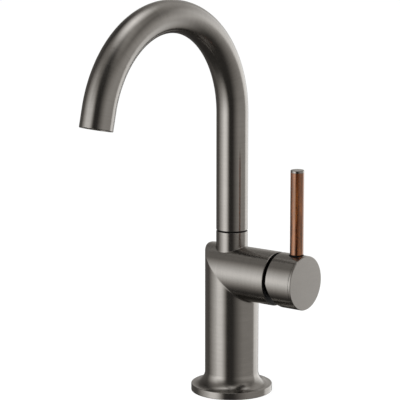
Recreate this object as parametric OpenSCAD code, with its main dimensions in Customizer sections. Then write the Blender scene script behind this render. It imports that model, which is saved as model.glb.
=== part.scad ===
// Gooseneck bar faucet with one side lever, built up the way it comes apart on a bench.
// Millimetres. The origin is the middle of the column on the deck, +Z is up,
// the spout reaches towards -Y and the handle's barrel points along +X.

/* [Body] */
// Outside diameter of the column, the barrel and the handle's hub
body_d = 37.8; // [36.6:0.1:40]
// Height of the barrel's axis above the deck
barrel_h = 86; // [80:1:110]
// Length of the barrel, from the column's axis to its open end
barrel_len = 39.6; // [38.6:0.1:46]
// Diameter of the flange on the deck
flange_d = 57.4; // [55:0.1:64]
// Height of the flange's upright rim
rim_h = 5; // [3.5:0.1:8]
// Width of the flat land between the flare and the rim's edge
rim_land = 0.6; // [0.5:0.1:1]
// Chamfer on the visible edges
edge = 0.4; // [0.2:0.1:0.5]
// Wall of the column round the hoses
column_wall = 5.5; // [5:0.1:6]
// Height of the hose space above the deck
hose_space_h = 58; // [50:1:62]
// Height of the fixed stub above the barrel
stub_rise = 10.5; // [9:0.1:16]

/* [Supply ports] */
// Diameter of each threaded hose port
port_d = 9; // [8:0.1:10]
// Depth of each hose port
port_depth = 10; // [8:0.5:11]
// Distance between the two hose ports
port_spacing = 13; // [12:0.1:13.6]
// Distance of the hose ports behind the column's axis
port_back = 3; // [2.6:0.1:3.4]
// Diameter of the drilled water passages
passage_d = 5; // [4.4:0.1:5.4]

/* [Deck fixing] */
// Outside diameter of the threaded shank
shank_d = 30; // [29:0.1:31]
// Wall of the threaded shank
shank_wall = 3; // [2:0.1:3.2]
// Length of the shank that screws into the column
shank_grip = 16; // [12:0.5:20]
// Length of the shank below the deck's top
shank_drop = 58; // [56:1:80]
// Pitch of the shank's thread
thread_pitch = 2; // [1.5:0.5:3]
// Depth of the shank's thread
thread_depth = 1; // [0.6:0.1:1]
// Thickness of the deck that the faucet is clamped to
deck_t = 30; // [10:1:32]
// Width of the base gasket
gasket_w = 5; // [3:0.1:6]
// Thickness of the base gasket
gasket_t = 1.6; // [1:0.1:2.4]
// Outside diameter of the two washers
washer_d = 52; // [51:0.5:60]
// Thickness of the rubber washer
rubber_t = 3; // [2:0.1:4]
// Thickness of the steel washer
steel_t = 2; // [1.5:0.1:3]
// Width across the mounting nut's flats
nut_flats = 48; // [47:0.5:52]
// Thickness of the mounting nut
nut_t = 9; // [7:0.5:10]
// Diameter of the two jack screws
jack_d = 5; // [4:0.1:5.2]
// Length of the jack screws
jack_len = 17; // [14:0.5:18]
// Height of the jack screws' heads
jack_head_h = 3; // [2.4:0.1:4]

/* [Spout] */
// Outside diameter of the spout tube
tube_d = 22.2; // [21.8:0.1:24]
// Wall of the spout tube
tube_wall = 1.5; // [1.3:0.1:1.8]
// Straight riser, from the seam to the middle of the arc
riser_len = 82.1; // [60:0.1:140]
// Radius of the arc, to the middle of the tube
arc_r = 72.2; // [55:0.1:90]
// Angle that the arc turns through
arc_turn = 166; // [150:1:180]
// Straight length after the arc
tip_len = 12.5; // [6:0.5:20]
// Diameter of the spigot that the spout turns on
spigot_d = 16; // [15.6:0.1:16.4]
// Bore through the spigot
spigot_bore = 10; // [9:0.1:10.6]
// Depth of the socket that the spigot turns in
socket_depth = 20.4; // [19.6:0.1:21]
// Length of the spigot that is brazed into the tube
braze_len = 12; // [8:0.5:20]
// Height of the black ring in the seam
seam_t = 1; // [0.8:0.1:1.4]
// Thickness of the spout's O-rings
oring_t = 2.2; // [1.8:0.1:2.4]
// Thickness of the snap ring that holds the spout down
snap_t = 1.2; // [1:0.1:1.4]

/* [Aerator] */
// Wall of the tube round the aerator
tip_wall = 1; // [0.8:0.1:1.2]
// Depth of the aerator's seat in the tube's end
seat_depth = 11; // [10.5:0.5:13]
// Distance that the aerator lies back from the tube's end
aerator_back = 1.2; // [0.6:0.1:2]
// Length of the aerator's housing
aerator_len = 8; // [7:0.5:8.5]
// Wall of the aerator's housing
aerator_wall = 1.6; // [1.4:0.1:2]
// Thickness of the lip that holds the screen in the housing
aerator_lip = 0.6; // [0.4:0.1:1]
// Thickness of the screen in the aerator's mouth
screen_t = 1; // [0.8:0.1:1.6]
// Distance between the bars of the screen
screen_pitch = 1.9; // [1.6:0.1:3]
// Width of each bar of the screen
screen_bar = 0.5; // [0.4:0.1:0.8]
// Thickness of the flow disc
flow_disc_t = 1.6; // [1.2:0.1:2]

/* [Handle] */
// Gap between the barrel and the handle's hub
hub_gap = 2.6; // [2.4:0.1:3.4]
// Length of the hub
hub_len = 20.9; // [20.5:0.1:26]
// Angle of the relief under the hub, which lets the handle tilt
relief = 17; // [16:0.5:20]
// Wall of the hub round its hollow back
hub_wall = 2.6; // [2:0.1:3]
// Depth of the hub's hollow back
hub_hollow = 7.4; // [7.2:0.1:8]
// Distance of the lever from the hub's end face
lever_in = 7.7; // [7:0.1:9]
// Diameter of the lever
lever_d = 9.4; // [8.6:0.1:11]
// Height of the lever's top above the barrel's axis
lever_h = 78.1; // [60:0.1:110]
// Height of the metal cap on the lever
cap_h = 3; // [2.6:0.1:6]
// Diameter of the rod inside the lever
rod_d = 5; // [4:0.1:5.2]
// Depth of the recess that the lever stands in
foot_depth = 1.6; // [1.2:0.1:2]
// Height of the black ring at the lever's foot
foot_t = 1.5; // [0.6:0.1:1.6]
// Diameter of the hub's set screw
set_screw_d = 4; // [3:0.1:5]
// Length of the set screw
set_screw_len = 6; // [5:0.5:8]

/* [Cartridge] */
// Outside diameter of the cartridge
cartridge_d = 24.8; // [24.4:0.1:25]
// Length of the cartridge without its seals
cartridge_len = 20.5; // [20.5:0.1:21]
// Wall of the cartridge's housing
housing_wall = 1.9; // [1.7:0.1:2.1]
// Thickness of the housing's front wall
housing_front = 2.5; // [2:0.1:3]
// Thickness of the cartridge's base flange
base_flange = 2; // [1.6:0.1:2.4]
// Height of the step on the base that plugs into the housing
base_plug = 1.5; // [1.2:0.1:2]
// Height that the port seals stand out before the floor of the chamber
seal_stand = 0.5; // [0.3:0.1:0.6]
// Thickness of each port seal
seal_t = 1.6; // [1.2:0.1:1.8]
// Thickness of the fixed ceramic disc
fixed_t = 3.5; // [3:0.1:3.8]
// Diameter of the moving ceramic disc
disc_d = 16; // [15:0.1:16.4]
// Thickness of the moving ceramic disc
disc_t = 3; // [2.6:0.1:3.2]
// Thickness of the disc carrier
carrier_t = 4.5; // [4.2:0.1:4.6]
// Diameter of the stem guide's neck
guide_d = 16; // [15.6:0.1:16.6]
// Diameter of the pivot pin
pin_d = 2.5; // [2:0.1:2.8]
// Width of the stem's square end
stem_w = 8; // [7:0.1:8.4]
// Width of the stem where it pivots
stem_neck = 6; // [5.4:0.1:6]
// Diameter of the ball on the stem's inner end
ball_d = 5; // [4.6:0.1:5.2]
// Outside diameter of the cartridge nut
nut_d = 28.4; // [28:0.1:29]
// Length of the cartridge nut
nut_len = 7.2; // [6.8:0.1:7.6]
// Distance that the cartridge nut stands out of the barrel
nut_proud = 0.6; // [0:0.1:1]
// Thickness of the friction ring behind the cartridge nut
friction_t = 0.8; // [0.6:0.1:1]
// Radius of the inlet ports in the discs
inlet_r = 2.2; // [1.8:0.1:2.3]
// Radius of the outlet port in the discs
outlet_r = 2.8; // [2.2:0.1:2.9]

/* [Hidden] */
$fn = 96;

film = 0.02;              // gap between faces that seal on each other
pin_slip = 0.03;          // radial clearance of the stem on its pin
slip = 0.05;              // radial clearance of a piece that turns in another
snug = 0.1;               // gap round a piece that is pushed into another
ease = 0.3;               // gap between pieces that pass without touching
cut = 1;                  // how far a cutting shape runs past what it cuts
squeeze = 0.2;            // how far the socket flattens an O-ring
open_angle = 20;          // tilt of the handle from shut to full flow
ball_clear = 0.2;         // gap between the stem's ball and the moving disc
tip_sized = 0.1;          // how far the tube's end is drawn down to size, on the radius
tip_lap = 0.5;            // how far the straight tip runs back into the bend

body_r = body_d / 2;
tube_r = tube_d / 2;
barrel_top = barrel_h + body_r;
flare_r = flange_d / 2 - rim_land - body_r;
reach = 4 * (barrel_h + barrel_len);

// Places along the barrel, outwards from the column
guide_gap = 0.4;          // gap between the disc carrier and the stem guide
guide_proud = 3;          // how far the stem guide reaches past the pivot
hub_face = 5;             // metal between the stem's end and the hub's end face
nut_out = barrel_len + nut_proud;
cartridge_front = nut_out - nut_len;
base_x = cartridge_front - cartridge_len;
floor_x = base_x - seal_stand;
plug_x = base_x + base_flange;
fixed_x = plug_x + base_plug;
moving_x = fixed_x + fixed_t + film;
carrier_x = moving_x + disc_t;
guide_x = carrier_x + carrier_t + guide_gap;
guide_flange = cartridge_front - housing_front - ease - guide_x;
pivot_x = cartridge_front;
guide_end = pivot_x + guide_proud;
hub_x = barrel_len + hub_gap;
hub_end = hub_x + hub_len;
lever_x = hub_end - lever_in;
stem_end = hub_end - hub_face;

// Travel of the moving disc, and where it rests when the tap is shut
ball_arm = pivot_x - carrier_x - ball_d / 2 - ball_clear;
disc_travel = ball_arm * sin(open_angle);
disc_rest = -disc_travel / 2;

// Places up the column and the spout
upper_oring = 5;          // depth of the upper O-ring below the stub's top
lower_oring = 4.2;        // height of the lower O-ring above the socket's floor
spigot_gap = 1;           // gap under the spigot's end
snap_bite = 1;            // how far the snap ring reaches into the spigot and into the stub
snap_split = 3;           // width of the split in the snap ring
seam_inset = 0.7;         // how far the black ring stands in from the tube
stub_top = barrel_top + stub_rise;
socket_floor = stub_top - socket_depth;
seam_top = stub_top + seam_t;
arc_h = seam_top + riser_len;
spigot_r = spigot_d / 2;
oring_places = [stub_top - upper_oring, socket_floor + lower_oring];
snap_z = (oring_places[0] + oring_places[1]) / 2;
groove_r = spigot_r + slip - oring_t + squeeze;

// Cartridge radii and port places, as [across, up] from the barrel's axis
chamber_r = cartridge_d / 2 + snug;
housing_in = cartridge_d / 2 - housing_wall;
guide_r = guide_d / 2;
carrier_r = disc_d / 2 + 2 * snug;
inlets = [[-3.6, 3.6], [3.6, 3.6]];
outlet = [0, -5];
outlet_x = 2;             // place of the passage that rises from the outlet to the spout
seal_w = 1.1;             // width of each seal round its port
pegs = [[-8.8, -2.6], [8.8, -2.6]];
peg_r = 1.2;
peg_len = 2;
pocket_r = 4.2;           // radius of the moving disc's mixing pocket
pocket_up = 2.2;          // how far the pocket's middle lies off the disc's middle
rail_y = 6.4;             // distance of each of the carrier's rails from the middle
rail_w = 2;               // width of a rail
rail_h = 1.8;             // height of the stem guide's grooves for the rails
rail_half = 3;            // half of a rail's length
pin_in = 0.4;             // how far the pivot pin's ends lie inside the stem guide
ball_waist = 1;           // how far the stem is drawn in behind its ball
slot_low = 1.8;           // room for the stem's neck below, as it tilts
slot_high = 2.6;          // room for the stem's neck above
nut_clear = 1.2;          // room round the stem guide in the cartridge nut
nut_lead = 1.5;           // how far the nut's thread runs on behind it
nut_recess = cartridge_d / 2 - snug;
friction_w = 3.4;         // width of the friction ring
key_slot = [3.2, 1.6];    // width and depth of the cartridge nut's slots

// Lever
foot_gap = 0.5;           // gap round the lever in its recess
foot_inset = 0.4;         // how far the black ring stands in from the grip
rod_floor = 2.6;          // metal between the bores for the stem and the rod
hex_socket = [2, 2];      // width and depth of the set screw's socket
lever_top = barrel_h + lever_h;
foot_z = barrel_top - foot_depth;
wood_z = foot_z + foot_t;
rod_z = barrel_h + stem_w / 2 + rod_floor;
rod_top = lever_top - cap_h / 2;

// Under the deck
thread_crest = 0.2;       // width of the flat left between two grooves of the thread
nut_chamfer = 2;          // how far the mounting nut's corners are turned down
jack_head_lap = 1.6;      // how far a jack screw's head stands out round it
jack_slot = [1, 1.4];     // width and depth of the slot in a jack screw's head
shank_r = shank_d / 2;
shank_in = shank_r - shank_wall;
washer_bore = shank_r + ease;
washer_z = -deck_t - rubber_t;
nut_top = washer_z - steel_t;
jack_at = (shank_r + nut_flats / 2) / 2;
gasket_mid = (shank_r + flange_d / 2) / 2;

// Aerator
gasket_lap = 2.4;         // width of the aerator's gasket
screen_lip = 0.8;         // how far the housing's lip covers the screen
screen_rim = [1, 1.6];    // width of the screen's rim, and how far it stands behind the bars
notches = 6;              // notches for the aerator key
notch = [1.4, 1.8, 1];    // how far a notch reaches in, its width and its depth
flow_cone = [3.2, 1.6, 2]; // the flow disc's cone: its two radii and its height
flow_holes = 12;
flow_hole_r = 0.6;
flow_hole_in = 2.6;       // distance of the flow disc's holes from its edge
aerator_r = tube_r - tip_wall;
aerator_in = aerator_r - aerator_wall;
aerator_z = tip_len - aerator_back - aerator_len;

// Moves its children to the barrel's axis, with their own Z along +X from the place given
module on_barrel(x) {
    translate([x, 0, barrel_h]) rotate([0, 90, 0]) children();
}

// Places children on the pivot's axis, which runs along Y, from the distance given
module on_pivot(back) {
    translate([pivot_x, back, barrel_h]) rotate([90, 0, 0]) children();
}

// A ring about Z
module ring(outer, inner, h) {
    difference() {
        cylinder(h = h, r = outer);
        translate([0, 0, -cut]) cylinder(h = h + 2 * cut, r = inner);
    }
}

// A round bar about Z with a chamfer at either end, or none where it is 0
module chamfered_bar(r, h, low, high) {
    foot = low > 0 ? [[r - low, 0], [r, low]] : [[r, 0]];
    head = high > 0 ? [[r, h - high], [r - high, h]] : [[r, h]];
    rotate_extrude() polygon(concat([[0, 0]], foot, head, [[0, h]]));
}

// A round hole through the cartridge's pieces at a port's place
module port_hole(at, x, length, r) {
    translate([x, at[0], barrel_h + at[1]]) rotate([0, 90, 0]) cylinder(h = length, r = r);
}

// All three ports at once
module port_holes(x, length, grow = 0) {
    for (at = inlets) port_hole(at, x, length, inlet_r + grow);
    port_hole(outlet, x, length, outlet_r + grow);
}

// One seal round each port
module seal_rings(x, t) {
    difference() {
        port_holes(x, t, seal_w);
        port_holes(x - cut, t + 2 * cut, snug);
    }
}

// The side of the mitre plane that the barrel lies on, or the column with side = -1
module mitre_side(side) {
    translate([0, 0, barrel_h]) rotate([0, 45, 0])
        translate([-reach, -reach, side > 0 ? 0 : -2 * reach]) cube(2 * reach);
}

// The column's flare and the flange's rim
module flange_outside() {
    r = flange_d / 2;
    rotate_extrude() {
        polygon([[0, 0], [r - edge, 0], [r, edge], [r, rim_h - edge], [r - edge, rim_h], [0, rim_h]]);
        difference() {
            square([body_r + flare_r, rim_h + flare_r]);
            translate([body_r + flare_r, rim_h + flare_r]) circle(flare_r);
        }
    }
}

// The outside of the body: a mitred elbow on a flange, with the fixed stub on top
module body_outside() {
    difference() {
        cylinder(h = barrel_top, r = body_r);
        mitre_side(1);
    }
    difference() {
        on_barrel(-body_r) chamfered_bar(body_r, body_r + barrel_len, 0, edge);
        mitre_side(-1);
    }
    flange_outside();
    translate([0, 0, barrel_h]) chamfered_bar(tube_r, stub_top - barrel_h, 0, edge / 2);
}

// The way from the hose ports through the chamber and up to the spout
module water_ways() {
    for (side = [-1, 1]) translate([-port_back, side * port_spacing / 2, hose_space_h - cut]) {
        cylinder(h = port_depth + cut, r = port_d / 2);
        cylinder(h = barrel_h + inlets[0][1] - hose_space_h + cut, r = passage_d / 2);
    }
    for (at = inlets)
        port_hole(at, -port_back - passage_d / 2, floor_x + port_back + passage_d, inlet_r);
    outlet_back = outlet_x - outlet_r - 2 * snug;
    port_hole(outlet, outlet_back, floor_x - outlet_back + cut, outlet_r);
    translate([outlet_x, 0, barrel_h + outlet[1]])
        cylinder(h = socket_floor - barrel_h - outlet[1] + cut, r = outlet_r);
}

// Everything that is bored out of the body
module body_bores() {
    // thread for the shank, the hose space over it and the gasket's groove
    translate([0, 0, -cut]) cylinder(h = shank_grip + cut, r = shank_r);
    cylinder(h = hose_space_h, r = body_r - column_wall);
    translate([0, 0, -cut]) ring(gasket_mid + gasket_w / 2, gasket_mid - gasket_w / 2, gasket_t + cut);
    // chamber for the cartridge, thread for its nut and holes for its pegs
    on_barrel(floor_x) cylinder(h = reach, r = chamber_r);
    on_barrel(cartridge_front - nut_lead) cylinder(h = reach, r = nut_d / 2);
    for (at = pegs) port_hole(at, floor_x - peg_len - 2 * snug, peg_len + cut, peg_r + slip);
    // socket for the spigot, with the snap ring's groove
    translate([0, 0, socket_floor]) cylinder(h = socket_depth + cut, r = spigot_r + slip);
    translate([0, 0, snap_z - snap_t / 2 - slip]) cylinder(h = snap_t + 2 * slip, r = spigot_r + snap_bite);
}

module faucet_body() {
    color("#6f6b66") difference() {
        body_outside();
        body_bores();
        water_ways();
    }
}

module base_gasket() {
    color("#1c1c1c") ring(gasket_mid + gasket_w / 2, gasket_mid - gasket_w / 2, gasket_t);
}

// The thread is a groove for each turn, from the shank's foot up to the deck's top
module mounting_shank() {
    turns = floor(shank_drop / thread_pitch) - 1;
    half = (thread_pitch - thread_crest) / 2;
    groove = [[0, -half], [-thread_depth, 0], [0, half]];
    thread = [for (k = [1:turns], p = groove) [shank_r + p[0], k * thread_pitch - shank_drop + p[1]]];
    foot = [[shank_in, -shank_drop], [shank_r - thread_depth / 2, -shank_drop]];
    grip = [[shank_r, shank_grip], [shank_in, shank_grip]];
    color("#b08d57") rotate_extrude() polygon(concat(foot, thread, grip));
}

module rubber_washer() {
    color("#202020") translate([0, 0, washer_z]) ring(washer_d / 2, washer_bore, rubber_t);
}

module steel_washer() {
    color("#b9bcc0") translate([0, 0, nut_top]) ring(washer_d / 2, washer_bore, steel_t);
}

module mounting_nut() {
    corner_r = nut_flats / sqrt(3);
    color("#b08d57") translate([0, 0, nut_top - nut_t]) difference() {
        intersection() {
            cylinder(h = nut_t, r = corner_r, $fn = 6);
            chamfered_bar(corner_r + cut, nut_t, nut_chamfer + cut, nut_chamfer + cut);
        }
        translate([0, 0, -cut]) cylinder(h = nut_t + 2 * cut, r = shank_r);
        for (side = [-1, 1]) translate([0, side * jack_at, -cut])
            cylinder(h = nut_t + 2 * cut, r = jack_d / 2);
    }
}

module jack_screws() {
    color("#9fa2a6") for (side = [-1, 1]) translate([0, side * jack_at, nut_top - jack_len]) difference() {
        union() {
            cylinder(h = jack_len, r = jack_d / 2);
            cylinder(h = jack_head_h, r = jack_d / 2 + jack_head_lap);
        }
        translate([-2 * jack_d, -jack_slot[0] / 2, -cut])
            cube([4 * jack_d, jack_slot[0], jack_slot[1] + cut]);
    }
}

module port_seals() {
    color("#151515") seal_rings(floor_x, seal_t);
}

module cartridge_base() {
    seat = seal_t - seal_stand;
    color("#e8e6df") difference() {
        union() {
            on_barrel(base_x) cylinder(h = base_flange, r = cartridge_d / 2);
            on_barrel(plug_x) cylinder(h = base_plug, r = housing_in - snug);
            for (at = pegs) port_hole(at, floor_x - peg_len, peg_len + seal_stand + base_flange, peg_r);
        }
        port_holes(base_x - cut, reach);
        port_holes(base_x - cut, seat + cut, seal_w);
        port_holes(fixed_x - seal_t / 2, reach, seal_w);
    }
}

module disc_seals() {
    color("#151515") seal_rings(fixed_x - seal_t / 2, seal_t / 2);
}

module fixed_disc() {
    color("#f2efe6") difference() {
        on_barrel(fixed_x) cylinder(h = fixed_t, r = housing_in - ease);
        port_holes(fixed_x - cut, fixed_t + 2 * cut);
    }
}

module cartridge_housing() {
    color("#4a4d52") difference() {
        on_barrel(plug_x) cylinder(h = cartridge_front - plug_x, r = cartridge_d / 2);
        on_barrel(plug_x - cut) cylinder(h = cartridge_front - housing_front - plug_x + cut, r = housing_in);
        on_barrel(cartridge_front - housing_front - cut) cylinder(h = reach, r = guide_r + slip);
    }
}

module friction_ring() {
    outer = nut_recess - snug;
    color("#e8e6df") on_barrel(cartridge_front) ring(outer, outer - friction_w, friction_t);
}

module cartridge_nut() {
    color("#c9c4b8") difference() {
        on_barrel(cartridge_front) chamfered_bar(nut_d / 2, nut_len, 0, edge);
        on_barrel(cartridge_front - cut) cylinder(h = reach, r = guide_r + nut_clear);
        on_barrel(cartridge_front - cut) cylinder(h = friction_t + cut, r = nut_recess);
        for (turn = [0, 90]) on_barrel(nut_out - key_slot[1]) rotate([0, 0, turn])
            translate([-nut_d, -key_slot[0] / 2, 0]) cube([2 * nut_d, key_slot[0], key_slot[1] + cut]);
    }
}

module swivel_ring() {
    color("#101010") translate([0, 0, stub_top]) ring(tube_r - seam_inset, spigot_r + slip, seam_t);
}

module snap_ring() {
    color("#303030") translate([0, 0, snap_z - snap_t / 2]) difference() {
        ring(spigot_r + snap_bite, spigot_r - snap_bite + snug, snap_t);
        translate([-snap_split / 2, 0, -cut]) cube([snap_split, reach, snap_t + 2 * cut]);
    }
}

module stem_guide() {
    half = stem_neck / 2 + snug;
    color("#d9d4c6") difference() {
        union() {
            on_barrel(guide_x) cylinder(h = guide_flange, r = housing_in - ease);
            on_barrel(guide_x) cylinder(h = guide_end - guide_x, r = guide_r);
        }
        // slot for the stem, as long as its tilt needs
        translate([guide_x - cut, -half, barrel_h - stem_neck / 2 - slot_low])
            cube([reach, 2 * half, stem_neck + slot_low + slot_high]);
        // grooves that the carrier's rails run in
        for (side = [-1, 1]) translate([guide_x - cut, side * rail_y - rail_w / 2 - slip, barrel_h - reach])
            cube([cut + rail_h, rail_w + 2 * slip, 2 * reach]);
        on_pivot(guide_d) cylinder(h = 2 * guide_d, r = pin_d / 2);
    }
}

module pivot_pin() {
    length = guide_d - 2 * pin_in;
    color("#c8ccd0") on_pivot(length / 2) cylinder(h = length, r = pin_d / 2);
}

module moving_disc() {
    color("#f7f4ec") difference() {
        on_barrel(moving_x) translate([-disc_rest, 0, 0]) cylinder(h = disc_t, r = disc_d / 2);
        // mixing pocket, which joins the inlets to the outlet when the tap is open
        on_barrel(moving_x - cut) translate([pocket_up - disc_rest, 0, 0])
            cylinder(h = cut + disc_t / 2, r = pocket_r);
    }
}

module disc_carrier() {
    rail_len = carrier_t + guide_gap + rail_h - ease;
    color("#2f6fb0") difference() {
        union() {
            on_barrel(carrier_x) translate([-disc_rest, 0, 0]) cylinder(h = carrier_t, r = carrier_r);
            for (side = [-1, 1])
                translate([carrier_x, side * rail_y - rail_w / 2, barrel_h + disc_rest - rail_half])
                    cube([rail_len, rail_w, 2 * rail_half]);
        }
        on_barrel(pivot_x - ball_arm - ball_d / 2 - snug) cylinder(h = reach, r = ball_d / 2 + slip);
    }
}

module valve_stem() {
    half = stem_neck / 2;
    color("#c8a86a") difference() {
        union() {
            on_barrel(pivot_x - ball_arm) sphere(ball_d / 2);
            on_barrel(pivot_x - ball_arm) cylinder(h = ball_arm, r = ball_d / 2 - ball_waist);
            translate([pivot_x - half, -half, barrel_h - half])
                cube([hub_x - pivot_x + half, stem_neck, stem_neck]);
            translate([hub_x, -stem_w / 2, barrel_h - stem_w / 2]) cube([stem_end - hub_x, stem_w, stem_w]);
        }
        on_pivot(stem_w) cylinder(h = 2 * stem_w, r = pin_d / 2 + pin_slip);
    }
}

module handle_hub() {
    color("#6f6b66") difference() {
        on_barrel(hub_x) chamfered_bar(body_r, hub_len, 0, edge);
        // relief under the back edge, which clears the barrel when the handle tilts
        translate([hub_x, 0, barrel_h]) rotate([0, -relief, 0])
            translate([-reach, -reach, -2 * reach]) cube([reach, 2 * reach, 2 * reach]);
        on_barrel(hub_x - cut) cylinder(h = hub_hollow + cut, r = body_r - hub_wall);
        translate([hub_x, -stem_w / 2, barrel_h - stem_w / 2]) cube([stem_end - hub_x, stem_w, stem_w]);
        translate([lever_x, 0, foot_z]) cylinder(h = foot_depth + cut, r = lever_d / 2 + foot_gap);
        translate([lever_x, 0, rod_z]) cylinder(h = reach, r = rod_d / 2);
        translate([lever_x, 0, barrel_h - reach]) cylinder(h = reach, r = set_screw_d / 2);
    }
}

module hub_set_screw() {
    low = barrel_h - stem_w / 2 - set_screw_len;
    color("#55585c") translate([lever_x, 0, low]) difference() {
        cylinder(h = set_screw_len, r = set_screw_d / 2);
        translate([0, 0, -cut]) cylinder(h = hex_socket[1] + cut, r = hex_socket[0] / sqrt(3), $fn = 6);
    }
}

module lever_rod() {
    color("#b9bcc0") translate([lever_x, 0, rod_z]) cylinder(h = rod_top - rod_z, r = rod_d / 2);
}

module wood_sleeve() {
    color("#6b3420") translate([lever_x, 0, wood_z]) difference() {
        chamfered_bar(lever_d / 2, lever_top - cap_h - wood_z, edge, edge / 2);
        translate([0, 0, -cut]) cylinder(h = reach, r = rod_d / 2 + snug);
    }
}

module lever_cap() {
    color("#a9a49c") difference() {
        translate([lever_x, 0, lever_top - cap_h]) chamfered_bar(lever_d / 2, cap_h, edge / 2, edge);
        translate([lever_x, 0, barrel_h]) cylinder(h = rod_top - barrel_h, r = rod_d / 2);
    }
}

module foot_ring() {
    color("#101010") translate([lever_x, 0, foot_z])
        ring(lever_d / 2 - foot_inset, rod_d / 2 + snug, foot_t);
}

// Places children in the plane of the arc: their own X points away from its centre at the
// start of the bend, and their Y up
module in_arc() {
    translate([0, -arc_r, arc_h]) rotate([90, 0, 90]) children();
}

// Places children at the end of the bend, with their Z along the way that the water leaves
module at_tip(z) {
    in_arc() rotate([0, 0, arc_turn]) translate([arc_r, 0, 0]) rotate([-90, 0, 0])
        translate([0, 0, z]) children();
}

module spout_tube() {
    bore_r = tube_r - tube_wall;
    color("#6f6b66") difference() {
        union() {
            translate([0, 0, seam_top]) chamfered_bar(tube_r, riser_len, edge / 2, 0);
            in_arc() rotate_extrude(angle = arc_turn) translate([arc_r, 0]) circle(tube_r);
            at_tip(-tip_lap) chamfered_bar(tube_r - tip_sized, tip_lap + tip_len, 0, edge);
        }
        translate([0, 0, seam_top - cut]) cylinder(h = riser_len + cut, r = bore_r);
        in_arc() rotate_extrude(angle = arc_turn) translate([arc_r, 0]) circle(bore_r);
        at_tip(-tip_lap) cylinder(h = tip_lap + tip_len, r = bore_r - tip_sized);
        at_tip(tip_len - seat_depth) cylinder(h = seat_depth + cut, r = aerator_r);
    }
}

module spout_spigot() {
    low = socket_floor + spigot_gap;
    color("#b08d57") difference() {
        union() {
            translate([0, 0, low]) chamfered_bar(spigot_r, seam_top - low, edge, 0);
            translate([0, 0, seam_top]) cylinder(h = braze_len, r = tube_r - tube_wall);
        }
        translate([0, 0, low - cut]) cylinder(h = reach, r = spigot_bore / 2);
        for (z = oring_places) translate([0, 0, z - oring_t / 2]) ring(spigot_r + cut, groove_r, oring_t);
        translate([0, 0, snap_z - snap_t / 2 - snug])
            ring(spigot_r + cut, spigot_r - snap_bite, snap_t + 2 * snug);
    }
}

module spout_orings() {
    outer = spigot_r + slip - film;
    color("#151515") for (z = oring_places) translate([0, 0, z]) rotate_extrude()
        translate([(groove_r + outer) / 2, 0]) circle((outer - groove_r) / 2);
}

module aerator_gasket() {
    t = seat_depth - aerator_back - aerator_len;
    color("#151515") at_tip(tip_len - seat_depth) ring(aerator_r, aerator_r - gasket_lap, t);
}

module aerator_housing() {
    color("#8f9296") at_tip(aerator_z) difference() {
        chamfered_bar(aerator_r, aerator_len, 0, edge / 2);
        translate([0, 0, -cut]) cylinder(h = reach, r = aerator_in - screen_lip);
        translate([0, 0, -cut]) cylinder(h = aerator_len - aerator_lip + cut, r = aerator_in);
        for (k = [1:notches]) rotate([0, 0, k * 360 / notches])
            translate([aerator_r - notch[0], -notch[1] / 2, aerator_len - notch[2]])
                cube([notch[0] + cut, notch[1], notch[2] + cut]);
    }
}

module flow_disc() {
    color("#f0f0ee") at_tip(aerator_z) difference() {
        union() {
            cylinder(h = flow_disc_t, r = aerator_in);
            translate([0, 0, flow_disc_t]) cylinder(h = flow_cone[2], r1 = flow_cone[0], r2 = flow_cone[1]);
        }
        for (k = [1:flow_holes]) rotate([0, 0, k * 360 / flow_holes])
            translate([aerator_in - flow_hole_in, 0, -cut])
                cylinder(h = flow_disc_t + 2 * cut, r = flow_hole_r);
    }
}

// A round grille of crossed bars
module aerator_screen() {
    rim_in = aerator_in - screen_rim[0];
    count = floor(rim_in / screen_pitch);
    rim_t = screen_t + screen_rim[1];
    color("#e8e8e6") at_tip(aerator_z + aerator_len - aerator_lip - rim_t) {
        ring(aerator_in, rim_in, rim_t);
        translate([0, 0, screen_rim[1]]) intersection() {
            cylinder(h = screen_t, r = aerator_in - screen_rim[0] / 2);
            for (k = [-count:count], turn = [0, 90]) rotate([0, 0, turn])
                translate([k * screen_pitch - screen_bar / 2, -aerator_in, 0])
                    cube([screen_bar, 2 * aerator_in, screen_t]);
        }
    }
}

faucet_body();
base_gasket();
mounting_shank();
rubber_washer();
steel_washer();
mounting_nut();
jack_screws();
port_seals();
cartridge_base();
disc_seals();
fixed_disc();
cartridge_housing();
friction_ring();
cartridge_nut();
swivel_ring();
snap_ring();
stem_guide();
pivot_pin();
moving_disc();
disc_carrier();
valve_stem();
handle_hub();
hub_set_screw();
lever_rod();
wood_sleeve();
lever_cap();
foot_ring();
spout_tube();
spout_spigot();
spout_orings();
aerator_gasket();
flow_disc();
aerator_housing();
aerator_screen();
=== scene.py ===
import math

import bmesh
import bpy
import numpy as np
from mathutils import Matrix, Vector


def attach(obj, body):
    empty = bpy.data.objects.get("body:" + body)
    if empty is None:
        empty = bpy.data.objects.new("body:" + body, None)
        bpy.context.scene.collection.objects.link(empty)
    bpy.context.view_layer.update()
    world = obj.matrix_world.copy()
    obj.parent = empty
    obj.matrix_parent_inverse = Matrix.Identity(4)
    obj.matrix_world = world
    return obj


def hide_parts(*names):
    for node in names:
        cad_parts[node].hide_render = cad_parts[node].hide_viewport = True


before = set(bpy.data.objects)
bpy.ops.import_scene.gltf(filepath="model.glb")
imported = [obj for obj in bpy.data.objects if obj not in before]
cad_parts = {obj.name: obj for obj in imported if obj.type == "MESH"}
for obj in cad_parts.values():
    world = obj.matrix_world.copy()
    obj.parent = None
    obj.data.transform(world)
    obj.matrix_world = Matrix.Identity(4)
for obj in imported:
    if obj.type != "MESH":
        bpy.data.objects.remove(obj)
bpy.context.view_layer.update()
mm = 0.001
tiny = 0.001  # mm, less than any real size: a smaller radius is a point on the axis
support = 0.12  # mm from a rounded edge to the ring that holds its shading
arcStep = 0.6  # mm of a rounded corner for each facet
runUp = 2  # mm of straight profile that leads up to a rounded corner
weld = 1e-7  # m within which two points become one
sharpAngle = 35  # degrees between faces, past which their edge stays sharp
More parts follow.
